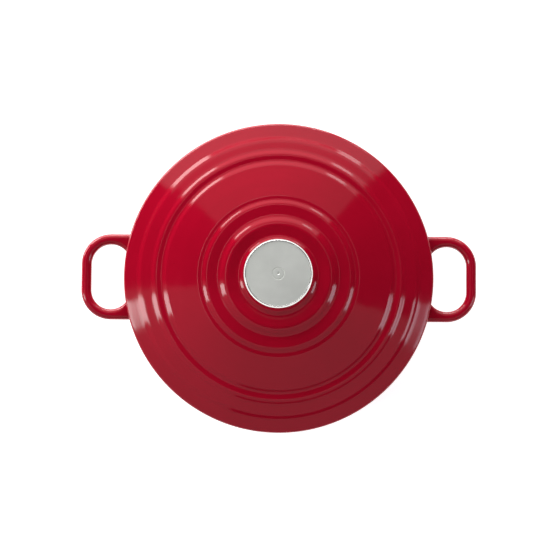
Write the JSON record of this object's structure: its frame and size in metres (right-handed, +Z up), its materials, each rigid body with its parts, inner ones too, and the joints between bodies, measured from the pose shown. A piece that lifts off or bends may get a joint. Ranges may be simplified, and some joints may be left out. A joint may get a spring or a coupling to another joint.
{
  "type": "dutch oven",
  "caption": "Round enamelled cast iron cooking pot with loop handles and a terraced lid that lifts off by a steel knob.",
  "frame": {"origin": "middle of the foot ring's resting face", "axes": "+Z up along the pot's axis, X through both handles"},
  "size_m": [0.3264, 0.254, 0.1616],
  "materials": {
    "red_enamel": "gloss",
    "pale_enamel": "gloss",
    "dark_enamel": "satin",
    "cast_iron": "rough ground",
    "polished_steel": "polished",
    "brushed_steel": "circular brushed",
    "screw_steel": "plain",
    "gasket": "matte"
  },
  "bodies": {
    "pot": {"pot_casting": "cast_iron", "left_handle": "cast_iron", "right_handle": "cast_iron", "pot_outer_enamel": "red_enamel", "pot_inner_enamel": "pale_enamel", "pot_rim_enamel": "dark_enamel", "pot_base_enamel": "dark_enamel", "left_handle_enamel": "red_enamel", "right_handle_enamel": "red_enamel"},
    "lid": {"lid_casting": "cast_iron", "lid_outer_enamel": "red_enamel", "lid_inner_enamel": "pale_enamel", "lid_seat_enamel": "dark_enamel", "knob_head": "polished_steel", "knob_cap": "brushed_steel", "knob_stem": "polished_steel", "knob_gasket": "gasket", "knob_screw": "screw_steel", "flat_washer": "screw_steel", "spring_washer": "screw_steel"}
  },
  "joints": [
    {"name": "lid_lift", "type": "slide", "parent": "pot", "child": "lid", "axis": [0, 0, 1], "range_m": [0, 0.15]}
  ]
}
